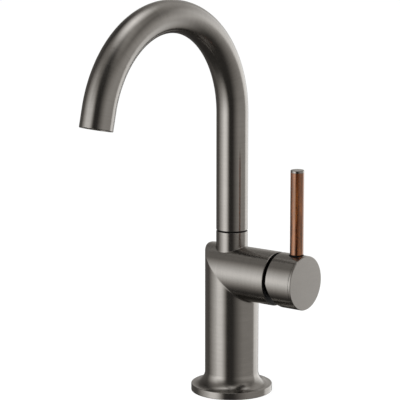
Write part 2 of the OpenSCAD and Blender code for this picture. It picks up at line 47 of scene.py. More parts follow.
quarters = (0.25, 0.5, 0.75, 1)  # steps round an edge that no plain circle fits
upAxis, barrelAxis = (0, 0, 1), (1, 0, 0)
brushMap = {"radius": 10, "unit": 100}  # mm: the radius that makes an angle a length, and one UV unit
print("frame loaded:", len(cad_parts), "nodes")


# Shells are lists of points in millimetres, with faces bridged between rings of them.
# Every face has a zone, which says what axis its brush marks turn about and what finish it has.

def newShell():
    return {"points": [], "faces": [], "zones": []}


def addRing(shell, points):
    start = len(shell["points"])
    shell["points"].extend(tuple(float(c) for c in p) for p in points)
    return list(range(start, len(shell["points"])))


def addFace(shell, corners, zone):
    shell["faces"].append(tuple(corners))
    shell["zones"].append(zone)


def bridge(shell, ringA, ringB, zone):
    for i in range(len(ringA)):
        j = (i + 1) % len(ringA)
        addFace(shell, (ringA[i], ringA[j], ringB[j], ringB[i]), zone)
    return ringB


def closeRing(shell, ring, middle, zone):
    tip = addRing(shell, [middle])[0]
    for i in range(len(ring)):
        addFace(shell, (ring[i], ring[(i + 1) % len(ring)], tip), zone)


def fullTurn(count):
    return np.arange(count) * 2 * math.pi / count


def circle(angles, radius, z, middle=(0, 0)):
    return [(middle[0] + radius * math.cos(t), middle[1] + radius * math.sin(t), z) for t in angles]


def roundCorner(before, here, after, rounding):
    # points along the arc that rounds a corner of a profile
    before = (before - here) / np.linalg.norm(before - here)
    after = (after - here) / np.linalg.norm(after - here)
    half = math.acos(float(before @ after)) / 2
    middle = here + (before + after) / np.linalg.norm(before + after) * rounding / math.sin(half)
    first = here + before * rounding / math.tan(half) - middle
    last = here + after * rounding / math.tan(half) - middle
    turn = math.pi - 2 * half
    steps = max(4, math.ceil(turn * rounding / arcStep))
    shares = [k / steps for k in range(steps + 1)]
    return [middle + (first * math.sin((1 - f) * turn) + last * math.sin(f * turn)) / math.sin(turn)
            for f in shares]


def roundProfile(corners, closed=False, spacing=None):
    # corners are (radius, along, rounding), and the result is a list of (radius, along) with support
    # points beside each corner and, where a spacing is given, points that far apart on the straights
    runs = []
    for i, (r, s, rounding) in enumerate(corners):
        here = np.array([r, s], float)
        if rounding <= 0 or (not closed and i in (0, len(corners) - 1)):
            runs.append([here])
            continue
        before = np.array(corners[i - 1][:2], float)
        after = np.array(corners[(i + 1) % len(corners)][:2], float)
        runs.append(roundCorner(before, here, after, rounding))
    points = []
    for i, run in enumerate(runs):
        points.extend(run)
        if i == len(runs) - 1 and not closed:
            break
        start, end = run[-1], runs[(i + 1) % len(runs)][0]
        gap = float(np.linalg.norm(end - start))
        shares = [support / gap, 1 - support / gap] if gap > 4 * support else []
        if spacing and gap > 2 * spacing:
            shares += [k / round(gap / spacing) for k in range(1, round(gap / spacing))]
        points.extend(start + (end - start) * f for f in sorted(shares))
    return points


def turnedShell(corners, around, closed=False, spacing=None, middle=(0, 0)):
    # a piece turned about an upright axis; unless its profile is closed, it ends on the axis or open
    shell = newShell()
    angles = fullTurn(around)
    rings = []
    for r, z in roundProfile(corners, closed, spacing):
        rings.append((*middle, z) if r < tiny else addRing(shell, circle(angles, r, z, middle)))
    for a, b in zip(rings, rings[1:] + rings[:1] if closed else rings[1:]):
        if isinstance(a, tuple):
            closeRing(shell, b, a, 0)
        elif isinstance(b, tuple):
            closeRing(shell, a, b, 0)
        else:
            bridge(shell, a, b, 0)
    return shell


def finishShell(name, shell, zones):
    # a zone is a point on its axis, the axis and the number of its finish; a flat face that is
    # brushed one way has None as its point
    mesh = bpy.data.meshes.new(name)
    build = bmesh.new()
    points = [build.verts.new([c * mm for c in p]) for p in shell["points"]]
    layer = build.faces.layers.int.new("zone")
    for corners, zone in zip(shell["faces"], shell["zones"]):
        build.faces.new([points[c] for c in corners])[layer] = zone
    bmesh.ops.remove_doubles(build, verts=build.verts, dist=weld)
    bmesh.ops.dissolve_degenerate(build, dist=weld / 10, edges=build.edges)
    bmesh.ops.recalc_face_normals(build, faces=build.faces)
    for face in build.faces:
        face.smooth = True
    build.to_mesh(mesh)
    build.free()
    markGrain(mesh, zones)
    mesh.set_sharp_from_angle(angle=math.radians(sharpAngle))
    piece = bpy.data.objects.new(name, mesh)
    bpy.context.scene.collection.objects.link(piece)
    return piece


def fetch(items, field, width=1, kind=float):
    values = np.zeros(len(items) * width, kind)
    items.foreach_get(field, values)
    return values


def markGrain(mesh, zones):
    # "grain" holds coordinates straightened along each zone's axis, and the UV map gives the way
    # across its brush marks
    point = fetch(mesh.vertices, "co", 3).reshape(-1, 3)[fetch(mesh.loops, "vertex_index", kind=int)]
    corners = fetch(mesh.polygons, "loop_total", kind=int)
    zone = fetch(mesh.attributes["zone"].data, "value", kind=int)
    face = np.repeat(np.arange(len(corners)), corners)
    first = np.concatenate([[0], np.cumsum(corners)[:-1]])[face]
    following = np.arange(len(face)) + 1
    following = np.where(following < first + corners[face], following, first)
    grain = np.zeros((len(face), 3))
    uv = np.zeros((len(face), 2))
    side = np.array([0.0, 1.0, 0.0])  # square to both axes in use
    for number, (origin, axis, _) in enumerate(zones):
        mine = zone[face] == number
        local = point - (np.zeros(3) if origin is None else np.array(origin) * mm)
        along, x, y = local @ np.array(axis, float), local @ side, local @ np.cross(axis, side)
        grain[mine] = np.stack([x, y, along], 1)[mine]
        if origin is None:
            uv[mine] = np.stack([along, x], 1)[mine]
            continue
        r = np.hypot(x, y)
        angle = np.arctan2(y, x)
        # a pole takes its face's angle, and a face over the seam isn't torn
        pole = r < tiny * mm
        angle = np.where(pole, angle[following], angle)
        base = np.where(pole[first], angle[following[first]], angle[first])
        angle = base + (angle - base + math.pi) % (2 * math.pi) - math.pi
        uv[mine] = np.stack([along - r, angle * brushMap["radius"] * mm], 1)[mine]
    numbers = np.array([finish for origin, axis, finish in zones], np.int32)
    mesh.polygons.foreach_set("material_index", numbers[zone])
    mesh.attributes.remove(mesh.attributes["zone"])
    layer = mesh.attributes.new("grain", "FLOAT_VECTOR", "CORNER")
    layer.data.foreach_set("vector", grain.astype(np.float32).ravel())
    uv = (uv / (brushMap["unit"] * mm)).astype(np.float32)
    mesh.uv_layers.new(name="brush").data.foreach_set("uv", uv.ravel())


# The barrel and the hub are horizontal drums, with round bosses and holes in their curved side.

def ringAboutX(shell, rows, x, radius, height):
    turn = fullTurn(rows)
    x = np.broadcast_to(x, rows)
    return addRing(shell, zip(x, radius * np.sin(turn), height - radius * np.cos(turn)))


def endRings(shell, rows, ring, profile, height, zone):
    for r, x in profile:
        if r < tiny:
            closeRing(shell, ring, (x, 0, height), zone)
        else:
            ring = bridge(shell, ring, ringAboutX(shell, rows, x, r, height), zone)
    return ring


def wallRings(shell, ring, angles, x, profile, zone):
    for r, z in profile:
        if r < tiny:
            closeRing(shell, ring, (x, 0, z), zone)
        else:
            ring = bridge(shell, ring, addRing(shell, circle(angles, r, z, (x, 0))), zone)


def drumGrid(shell, drum, left, right):
    # rings along the drum: close together in the patch that holds its holes, and a few past it
    patch, near, far = drum["patch"], drum["patchRings"], drum["plainRings"]
    places = [left] + [left + support + (patch - left - support) * k / (near - 1) for k in range(near)]
    places += [patch + (right - support - patch) * k / (far - 1) for k in range(1, far)] + [right]
    return [ringAboutX(shell, drum["rows"], x, drum["radius"], drum["height"]) for x in places]


def cutHole(shell, drum, grid, hole, zone):
    # leads from a square window in the grid to a round hole or boss, and rounds its edge; returns the
    # window's cells, the ring that the wall starts from, and the angles of its points
    rows, radius, height = drum["rows"], drum["radius"], drum["height"]
    up, last, reach = hole["up"], drum["patchRings"], hole["radius"] + hole["rounding"]
    centre = rows // 2 if up > 0 else 0
    low, high = centre - hole["halfRows"], centre + hole["halfRows"]
    window = {(k % rows, j) for k in range(low, high) for j in range(1, last)}
    loop = [(low, j) for j in range(1, last)] + [(k, last) for k in range(low, high)]
    loop += [(high, j) for j in range(last, 1, -1)] + [(k, 1) for k in range(high, low, -1)]
    ring = [grid[j][k % rows] for k, j in loop]
    x, y = np.array([shell["points"][i][:2] for i in ring]).T
    lift = np.array([(k - centre) * 2 * math.pi / rows for k, j in loop])
    angles = np.arctan2(-up * radius * np.sin(lift), x - hole["x"])
    roundX, roundY = hole["x"] + reach * np.cos(angles), reach * np.sin(angles)

    def onDrum(px, py):
        return addRing(shell, zip(px, py, height + up * np.sqrt(radius ** 2 - py ** 2)))

    roundLean, windowLean = np.arcsin(roundY / radius), np.arcsin(y / radius)
    for f in (0.84, 0.68, 0.52, 0.36, 0.2, 0.07):  # from the window towards the round edge
        lean = roundLean + (windowLean - roundLean) * f
        ring = bridge(shell, ring, onDrum(roundX + (x - roundX) * f, radius * np.sin(lean)), zone)
    f = np.minimum(0.05, support / np.hypot(x - roundX, y - roundY))
    ring = bridge(shell, ring, onDrum(roundX + (x - roundX) * f, roundY + (y - roundY) * f), zone)
    ring = bridge(shell, ring, onDrum(roundX, roundY), zone)
    edge = height + up * np.sqrt(radius ** 2 - (hole["radius"] * np.sin(angles)) ** 2)
    start = height + up * np.sqrt(radius ** 2 - roundY ** 2)
    end = edge + up * hole["stands"] * hole["rounding"]
    for f in quarters:
        r = hole["radius"] + hole["rounding"] * (1 - f) ** 2
        z = start * (1 - f) ** 2 + edge * 2 * f * (1 - f) + end * f ** 2
        points = zip(hole["x"] + r * np.cos(angles), r * np.sin(angles), z)
        ring = bridge(shell, ring, addRing(shell, points), hole["zone"])
    r, z = hole["radius"], end + up * hole["stands"] * support
    points = zip(hole["x"] + r * np.cos(angles), r * np.sin(angles), z)
    return window, bridge(shell, ring, addRing(shell, points), hole["zone"]), angles


def drumSkin(shell, drum, left, right, holes, zone):
    # returns the left ring, the right ring and, for each hole, the ring its wall starts from and its angles
    grid = drumGrid(shell, drum, left, right)
    taken, starts = set(), []
    for hole in holes:
        window, ring, angles = cutHole(shell, drum, grid, hole, zone)
        taken |= window
        starts.append((ring, angles))
    for j, (ringA, ringB) in enumerate(zip(grid, grid[1:])):
        for k in range(drum["rows"]):
            if (k, j) not in taken:
                n = (k + 1) % drum["rows"]
                addFace(shell, (ringA[k], ringA[n], ringB[n], ringB[k]), zone)
    return grid[0], grid[-1], starts


# Node trees: step adds one maths node to any tree, and the rest build the two geometry trees.

def step(tree, operation, a, b=None, kind="ShaderNodeMath"):
    node = tree.nodes.new(kind)
    node.operation = operation
    for socket, value in zip(node.inputs, (a, b)):
        if isinstance(value, bpy.types.NodeSocket):
            tree.links.new(value, socket)
        elif value is not None:
            socket.default_value = value
    return node.outputs[0]


def startTree(name, inputs):
    tree = bpy.data.node_groups.new(name, "GeometryNodeTree")
    tree.interface.new_socket("Geometry", in_out="INPUT", socket_type="NodeSocketGeometry")
    tree.interface.new_socket("Geometry", in_out="OUTPUT", socket_type="NodeSocketGeometry")
    for label, kind in inputs:
        tree.interface.new_socket(label, in_out="INPUT", socket_type="NodeSocket" + kind)
    return tree, tree.nodes.new("NodeGroupInput"), tree.nodes.new("GeometryNodeInputPosition").outputs[0]


def endTree(tree, start, label, value):
    # label is the Set Position input that the tree works out: Position or Offset
    move = tree.nodes.new("GeometryNodeSetPosition")
    real = tree.nodes.new("GeometryNodeRealizeInstances")
    paint = tree.nodes.new("GeometryNodeSetMaterial")
    end = tree.nodes.new("NodeGroupOutput")
    tree.links.new(start.outputs["Geometry"], move.inputs["Geometry"])
    tree.links.new(value, move.inputs[label])
    tree.links.new(move.outputs[0], real.inputs[0])
    tree.links.new(real.outputs[0], paint.inputs["Geometry"])
    tree.links.new(start.outputs["Material"], paint.inputs["Material"])
    tree.links.new(paint.outputs[0], end.inputs[0])
    return tree


def bendTree():
    # rolls a straight tube over: upright to the bend, round it, then straight on
    tree, start, position = startTree("bendTube", [
        ("Riser", "Float"), ("Bend Radius", "Float"), ("Turn", "Float"), ("Material", "Material")])
    split = tree.nodes.new("ShaderNodeSeparateXYZ")
    tree.links.new(position, split.inputs[0])
    riser, radius, turn = (start.outputs[n] for n in ("Riser", "Bend Radius", "Turn"))
    past = step(tree, "SUBTRACT", split.outputs[2], riser)
    angle = step(tree, "MINIMUM", step(tree, "MAXIMUM", step(tree, "DIVIDE", past, radius), 0.0), turn)
    rest = step(tree, "ADD", step(tree, "SUBTRACT", past, step(tree, "MULTIPLY", angle, radius)), riser)
    flat = tree.nodes.new("ShaderNodeCombineXYZ")
    middle = tree.nodes.new("ShaderNodeCombineXYZ")
    roll = tree.nodes.new("ShaderNodeVectorRotate")
    roll.rotation_type = "X_AXIS"
    for source, socket in ((split.outputs[0], flat.inputs[0]), (split.outputs[1], flat.inputs[1]),
                           (rest, flat.inputs[2]), (step(tree, "MULTIPLY", radius, -1.0), middle.inputs[1]),
                           (riser, middle.inputs[2]), (flat.outputs[0], roll.inputs["Vector"]),
                           (middle.outputs[0], roll.inputs["Center"]), (angle, roll.inputs["Angle"])):
        tree.links.new(source, socket)
    return endTree(tree, start, "Position", roll.outputs[0])


def threadTree():
    # presses a helical groove about the upright axis into the points that the "threaded" attribute names
    tree, start, position = startTree("cutThread", [
        ("Pitch", "Float"), ("Depth", "Float"), ("Material", "Material")])
    level = step(tree, "MULTIPLY", position, (1.0, 1.0, 0.0), "ShaderNodeVectorMath")
    split = tree.nodes.new("ShaderNodeSeparateXYZ")
    tree.links.new(position, split.inputs[0])
    turns = step(tree, "DIVIDE", step(tree, "ARCTAN2", split.outputs[1], split.outputs[0]), 2 * math.pi)
    phase = step(tree, "SUBTRACT", step(tree, "DIVIDE", split.outputs[2], start.outputs["Pitch"]), turns)
    wave = step(tree, "PINGPONG", step(tree, "MULTIPLY", phase, 2.0), 1.0)
    mask = tree.nodes.new("GeometryNodeInputNamedAttribute")
    mask.data_type = "FLOAT"
    mask.inputs["Name"].default_value = "threaded"
    cut = step(tree, "MULTIPLY", step(tree, "MULTIPLY", wave, mask.outputs[0]), start.outputs["Depth"])
    inwards = tree.nodes.new("ShaderNodeVectorMath")
    inwards.operation = "SCALE"
    tree.links.new(step(tree, "NORMALIZE", level, None, "ShaderNodeVectorMath"), inwards.inputs[0])
    tree.links.new(step(tree, "MULTIPLY", cut, -1.0), inwards.inputs["Scale"])
    return endTree(tree, start, "Offset", inwards.outputs[0])


def applyTree(piece, tree, values):
    # turns the tree's result into the piece's own plain mesh
    modifier = piece.modifiers.new(tree.name, "NODES")
    modifier.node_group = tree
    for item in tree.interface.items_tree:
        if item.in_out == "INPUT" and item.name in values:
            modifier[item.identifier] = values[item.name]
    bpy.context.view_layer.update()
    depsgraph = bpy.context.evaluated_depsgraph_get()
    mesh = bpy.data.meshes.new_from_object(piece.evaluated_get(depsgraph), depsgraph=depsgraph)
    piece.modifiers.clear()
    old = piece.data
    piece.data = mesh
    bpy.data.meshes.remove(old)
    mesh.name = piece.name
    return piece


# Finishes: bump distances are in metres, and noise scales in features per metre.

evenly = (1, 1, 1)  # no stretch


def newMaterial(name):
    material = bpy.data.materials.new(name)
    material.use_nodes = True
    return material, material.node_tree, material.node_tree.nodes["Principled BSDF"]


def objectCoordinates(tree):
    return tree.nodes.new("ShaderNodeTexCoord").outputs["Object"]


def noise(tree, source, stretch, scale, detail, rough=0.6):
    mapping = tree.nodes.new("ShaderNodeMapping")
    mapping.inputs["Scale"].default_value = stretch
    texture = tree.nodes.new("ShaderNodeTexNoise")
    texture.inputs["Scale"].default_value = scale
    texture.inputs["Detail"].default_value = detail
    texture.inputs["Roughness"].default_value = rough
    tree.links.new(source, mapping.inputs["Vector"])
    tree.links.new(mapping.outputs[0], texture.inputs["Vector"])
    return texture.outputs["Fac"]


def ramp(tree, source, stops):
    node = tree.nodes.new("ShaderNodeValToRGB")
    bar = node.color_ramp
    while len(bar.elements) < len(stops):
        bar.elements.new(0.5)
    for element, (position, colour) in zip(bar.elements, stops):
        element.position = position
        element.color = (*colour, 1) if hasattr(colour, "__len__") else (colour, colour, colour, 1)
    tree.links.new(source, node.inputs["Fac"])
    return node.outputs["Color"]


def blendColours(tree, factor, a, b):
    node = tree.nodes.new("ShaderNodeMix")
    node.data_type = "RGBA"  # its colour sockets are 6 and 7, and 2 comes out
    for socket, value in ((node.inputs[0], factor), (node.inputs[6], a), (node.inputs[7], b)):
        if isinstance(value, bpy.types.NodeSocket):
            tree.links.new(value, socket)
        else:
            socket.default_value = value if isinstance(value, float) else (*value, 1)
    return node.outputs[2]


def colourFrom(tree, shader, factor, colour, shade):
    # the colour, going to a darker shade of itself where the factor is high
    darker = tuple(c * shade for c in colour)
    tree.links.new(blendColours(tree, factor, colour, darker), shader.inputs["Base Color"])


def roughnessFrom(tree, shader, factor, middle, spread):
    node = tree.nodes.new("ShaderNodeMapRange")
    node.inputs["To Min"].default_value = middle - spread / 2
    node.inputs["To Max"].default_value = middle + spread / 2
    tree.links.new(factor, node.inputs["Value"])
    tree.links.new(node.outputs[0], shader.inputs["Roughness"])


def bump(tree, shader, height, strength, distance):
    node = tree.nodes.new("ShaderNodeBump")
    node.inputs["Strength"].default_value = strength
    node.inputs["Distance"].default_value = distance
    tree.links.new(height, node.inputs["Height"])
    tree.links.new(node.outputs[0], shader.inputs["Normal"])


brushed = {
    "colour": (0.440, 0.420, 0.395), "dark": (0.330, 0.316, 0.297),
    "roughness": 0.21, "spread": 0.05, "anisotropy": 0.75,
    "fineLines": 7000, "fineStretch": (0.012, 0.012, 1),
    "broadLines": 2300, "broadStretch": (0.02, 0.02, 1), "broadShare": 0.4,
    "clouds": 60, "cloudDepth": 0.35, "bump": 0.10, "bumpDistance": 0.00002,
}


def brushedMetal(name, look):
    material, tree, shader = newMaterial(name)
    grain = tree.nodes.new("ShaderNodeAttribute")
    grain.attribute_name = "grain"
    source = grain.outputs["Vector"]
    fine = noise(tree, source, look["fineStretch"], look["fineLines"], detail=4)
    broad = noise(tree, source, look["broadStretch"], look["broadLines"], detail=2)
    clouds = noise(tree, source, evenly, look["clouds"], detail=2)
    contrast = [(0.3, 0.0), (0.7, 1.0)]
    lines = blendColours(tree, look["broadShare"], ramp(tree, fine, contrast), ramp(tree, broad, contrast))
    tone = blendColours(tree, lines, look["dark"], look["colour"])
    cloudy = ramp(tree, clouds, [(0.35, 0.0), (0.75, look["cloudDepth"])])
    tree.links.new(blendColours(tree, cloudy, tone, look["dark"]), shader.inputs["Base Color"])
    roughnessFrom(tree, shader, lines, look["roughness"], look["spread"])
    shader.inputs["Metallic"].default_value = 1
    shader.inputs["Anisotropic"].default_value = look["anisotropy"]
    tangent = tree.nodes.new("ShaderNodeTangent")
    tangent.direction_type = "UV_MAP"
    tangent.uv_map = "brush"
    tree.links.new(tangent.outputs[0], shader.inputs["Tangent"])
    bump(tree, shader, lines, look["bump"], look["bumpDistance"])
    return material


wornMetal = {"wear": 900, "shade": 0.82, "spread": 0.12, "bump": 0.05, "bumpDistance": 0.00002}


def plainMetal(name, colour, roughness, look=wornMetal):
    material, tree, shader = newMaterial(name)
    wear = noise(tree, objectCoordinates(tree), evenly, look["wear"], detail=4)
    colourFrom(tree, shader, wear, colour, look["shade"])
    roughnessFrom(tree, shader, wear, roughness, look["spread"])
    shader.inputs["Metallic"].default_value = 1
    bump(tree, shader, wear, look["bump"], look["bumpDistance"])
    return material


moulded = {"specks": 2500, "shade": 0.85, "bump": 0.08, "bumpDistance": 0.00003}


def mouldedPlastic(name, colour, roughness, specular=0.5, look=moulded):
    material, tree, shader = newMaterial(name)
    specks = noise(tree, objectCoordinates(tree), evenly, look["specks"], detail=3)
    colourFrom(tree, shader, specks, colour, look["shade"])
    shader.inputs["Roughness"].default_value = roughness
    shader.inputs["Specular IOR Level"].default_value = specular
    bump(tree, shader, specks, look["bump"], look["bumpDistance"])
    return material


wood = {
    "light": (0.180, 0.052, 0.010), "middle": (0.080, 0.017, 0.003), "dark": (0.004, 0.001, 0.001),
    "bands": 420, "bandStretch": (1, 1, 0.10), "waver": 90, "waverStretch": (1, 1, 0.25),
    "pores": 2600, "poreStretch": (1, 1, 0.03), "bump": 0.06, "bumpDistance": 0.00004,
    "roughness": 0.12, "ior": 2.4, "sheen": (1.0, 0.44, 0.17), "coatRoughness": 0.01, "coatIor": 1.72,
}


def polishedWood(name, look):
    material, tree, shader = newMaterial(name)
    source = objectCoordinates(tree)
    bands = noise(tree, source, look["bandStretch"], look["bands"], detail=3)
    waver = noise(tree, source, look["waverStretch"], look["waver"], detail=2)
    pores = noise(tree, source, look["poreStretch"], look["pores"], detail=3, rough=0.7)
    colour = ramp(tree, bands, [(0.36, look["dark"]), (0.47, look["middle"]), (0.62, look["light"])])
    plainer = ramp(tree, waver, [(0.40, 0.0), (0.62, 0.55)])
    porous = ramp(tree, pores, [(0.50, 0.0), (0.62, 0.8)])
    colour = blendColours(tree, plainer, colour, look["middle"])
    colour = blendColours(tree, porous, colour, look["dark"])
    tree.links.new(colour, shader.inputs["Base Color"])
    shader.inputs["Roughness"].default_value = look["roughness"]
    shader.inputs["IOR"].default_value = look["ior"]
    shader.inputs["Specular Tint"].default_value = (*look["sheen"], 1)
    shader.inputs["Coat Weight"].default_value = 1
    shader.inputs["Coat IOR"].default_value = look["coatIor"]
    shader.inputs["Coat Roughness"].default_value = look["coatRoughness"]
    bump(tree, shader, pores, look["bump"], look["bumpDistance"])
    return material


finishes = {
    "metal": brushedMetal("brushedNickel", brushed),
    "endFace": brushedMetal("satinEnd", {
        **brushed, "colour": (0.395, 0.377, 0.355), "dark": (0.350, 0.335, 0.316), "anisotropy": 0.4,
        "spread": 0.03, "bump": 0.05}),
    # near-black metal on the inner faces: painted shade in the gap behind the hub, in the bores and in the
    # holes
    "paintedShadeInside": plainMetal("paintedShadeInside", (0.050, 0.050, 0.050), 0.50),
    "cap": brushedMetal("polishedCap", {**brushed, "roughness": 0.16, "anisotropy": 0.4}),
    "brass": plainMetal("brass", (0.62, 0.42, 0.16), 0.30),
    "steel": plainMetal("steel", (0.60, 0.60, 0.60), 0.28),
    # dark steel for the snap ring and the set screw; on the valve stem it is painted shade in the gap
    "darkSteelAndShade": plainMetal("darkSteelAndShade", (0.16, 0.16, 0.17), 0.35),
    # steel at half the plain steel's brightness: painted shade where the cartridge nut shows in the gap
    "shadedNutSteel": plainMetal("shadedNutSteel", (0.30, 0.30, 0.30), 0.32),
    "rubber": mouldedPlastic("blackRubber", (0.012, 0.012, 0.012), 0.62, specular=0.3),
    "blackPlastic": mouldedPlastic("blackPlastic", (0.005, 0.005, 0.005), 0.75, specular=0.12),
    # dark grey plastic for the housings; on the stem guide it is painted shade in the gap
    "greyPlasticAndShade": mouldedPlastic("greyPlasticAndShade", (0.055, 0.058, 0.062), 0.42),
    "ivoryPlastic": mouldedPlastic("ivoryPlastic", (0.78, 0.75, 0.68), 0.40),
    "bluePlastic": mouldedPlastic("bluePlastic", (0.030, 0.140, 0.380), 0.38),
    "ceramic": mouldedPlastic("ceramic", (0.86, 0.84, 0.79), 0.12, specular=0.6),
    "wood": polishedWood("polishedWood", wood),
}
print("materials made:", len(finishes))


def setMaterial(piece, *names):
    if len(piece.data.materials):  # clear() would also put every face back to the first finish
        piece.data.materials.clear()
    for name in names:
        piece.data.materials.append(finishes[name])


def place(piece, body, slot, *nodes):
    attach(piece, body)
    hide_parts(*nodes)


# The body is one casting: a column on a flange, a mitred elbow, the barrel and the stub.
# Inside, it is open from below for the shank and the hoses, and the barrel is bored for the cartridge.

bodySize = {
    "radius": 18.9, "height": 86, "barrelLength": 39.6,  # the barrel's axis is at that height
    "flangeRadius": 28.7, "rim": 5, "land": 0.6, "plainColumn": 8,  # a flare leads from land to column
    "creaseRounding": 1.3, "ridgeRounding": 0.25, "edge": 0.4,  # the mitre's inner and outer corner
    "stubRadius": 11.1, "stubTop": 115.4, "stubFoot": 0.35, "stubEdge": 0.25, "stubRows": 36,
    "shankBore": 15, "shankGrip": 16, "hoseBore": 13.4, "hoseSpace": 58, "boreEdge": 0.3,
    "grooveInner": 19.35, "grooveOuter": 24.35, "groove": 1.6, "grooveEdge": 0.1,  # for the gasket
    "nutBore": 14.2, "nutSeat": 31.5, "chamber": 12.5, "chamberFloor": 12,  # for the cartridge
    "socket": 8.05, "socketFloor": 95, "socketEdge": 0.2,  # for the spigot
    "rows": 256, "patch": 15.5, "patchRings": 34, "plainRings": 5,  # rings up to x = patch, and past it
}


def makeColumn(shell, size, turn, zone):
    # from the roof over the hoses, down and round the flange, and up; returns the top ring and its height
    flare = size["flangeRadius"] - size["land"] - size["radius"]
    base = size["rim"] + flare + size["plainColumn"]
    (_, roof), *wall = roundProfile([
        (0, size["hoseSpace"], 0), (size["hoseBore"], size["hoseSpace"], 0),
        (size["hoseBore"], size["shankGrip"], 0), (size["shankBore"], size["shankGrip"], 0),
        (size["shankBore"], 0, size["boreEdge"]),
        (size["grooveInner"], 0, size["grooveEdge"]), (size["grooveInner"], size["groove"], 0),
        (size["grooveOuter"], size["groove"], 0), (size["grooveOuter"], 0, size["grooveEdge"]),
        (size["flangeRadius"], 0, size["edge"]), (size["flangeRadius"], size["rim"], size["edge"]),
        (size["radius"], size["rim"], flare), (size["radius"], base, 0)])
    ring = addRing(shell, circle(turn, *wall[0]))
    closeRing(shell, ring, (0, 0, roof), zone)
    for r, z in wall[1:]:
        ring = bridge(shell, ring, addRing(shell, circle(turn, r, z)), zone)
    return ring, base


def makeBody(size):
    shell = newShell()
    column, barrel, bore = range(3)  # its zones
    rows, radius, height = size["rows"], size["radius"], size["height"]
    turn = fullTurn(rows)
    ring, base = makeColumn(shell, size, turn, column)
    # up to the mitre, and rounded over it into the barrel
    ridge, inside = size["ridgeRounding"], size["creaseRounding"]
    crease = ridge + (inside - ridge) * (1 + np.cos(turn)) / 2
    x, y = radius * np.cos(turn), radius * np.sin(turn)
    mitre = height - x
    for f in (0.25, 0.5, 0.75, 0.97, 1):
        ring = bridge(shell, ring, addRing(shell, zip(x, y, base + (mitre - crease - base) * f)), column)
    for f in (0.2, 0.4, 0.6, 0.8):
        points = zip(x + crease * f ** 2, y, mitre - crease * (1 - f) ** 2)
        ring = bridge(shell, ring, addRing(shell, points), column if f < 0.5 else barrel)
    stub = {"x": 0, "radius": size["stubRadius"], "up": 1, "stands": 1, "rounding": size["stubFoot"],
            "halfRows": size["stubRows"], "zone": column}
    _, skinEnd, *end = roundProfile([
        (radius, size["barrelLength"] - runUp, 0), (radius, size["barrelLength"], size["edge"]),
        (size["nutBore"], size["barrelLength"], size["boreEdge"]), (size["nutBore"], size["nutSeat"], 0),
        (size["chamber"], size["nutSeat"], 0), (size["chamber"], size["chamberFloor"], 0),
        (0, size["chamberFloor"], 0)])
    left, right, starts = drumSkin(shell, size, x + crease, skinEnd[1], [stub], barrel)
    bridge(shell, ring, left, barrel)
    rim = [p for p in end if p[0] > radius - size["edge"] - tiny]
    ring = endRings(shell, rows, right, rim, height, barrel)
    endRings(shell, rows, ring, end[len(rim):], height, bore)
    top = roundProfile([
        (size["stubRadius"], height + radius + runUp, 0),
        (size["stubRadius"], size["stubTop"], size["stubEdge"]),
        (size["socket"], size["stubTop"], size["socketEdge"]), (size["socket"], size["socketFloor"], 0),
        (0, size["socketFloor"], 0)])
    wallRings(shell, *starts[0], 0, top, column)
    return finishShell("bodyCasting", shell, [
        ((0, 0, 0), upAxis, 0), ((0, 0, height), barrelAxis, 0), ((0, 0, height), barrelAxis, 1)])


body = makeBody(bodySize)
# the bore zone, with the barrel's end face, takes the near-black metal as painted shade
setMaterial(body, "metal", "paintedShadeInside")
place(body, "root", "metal", "faucet_body")
print("body made:", len(body.data.polygons), "faces")


# The handle's hub is cut back below, so that it can tilt. It has a recess for the lever's foot in its
# top and a hole for the set screw under it.

hubSize = {
    "radius": 18.9, "height": 86, "back": 42.2, "end": 63.1, "edge": 0.4, "reliefAngle": 17,
    "hollowRadius": 16.3, "hollowDepth": 7.4, "leverX": 55.4, "holeEdge": 0.2,
    "recessRadius": 5.2, "recessFloor": 103.3, "recessRows": 18, "plainWall": 0.5, "floorEdge": 0.15,
    "screwHole": 2, "screwTop": 76, "screwRows": 10,
    "rows": 256, "patch": 61.6, "patchRings": 34, "plainRings": 5,  # rings up to x = patch, and past it
}


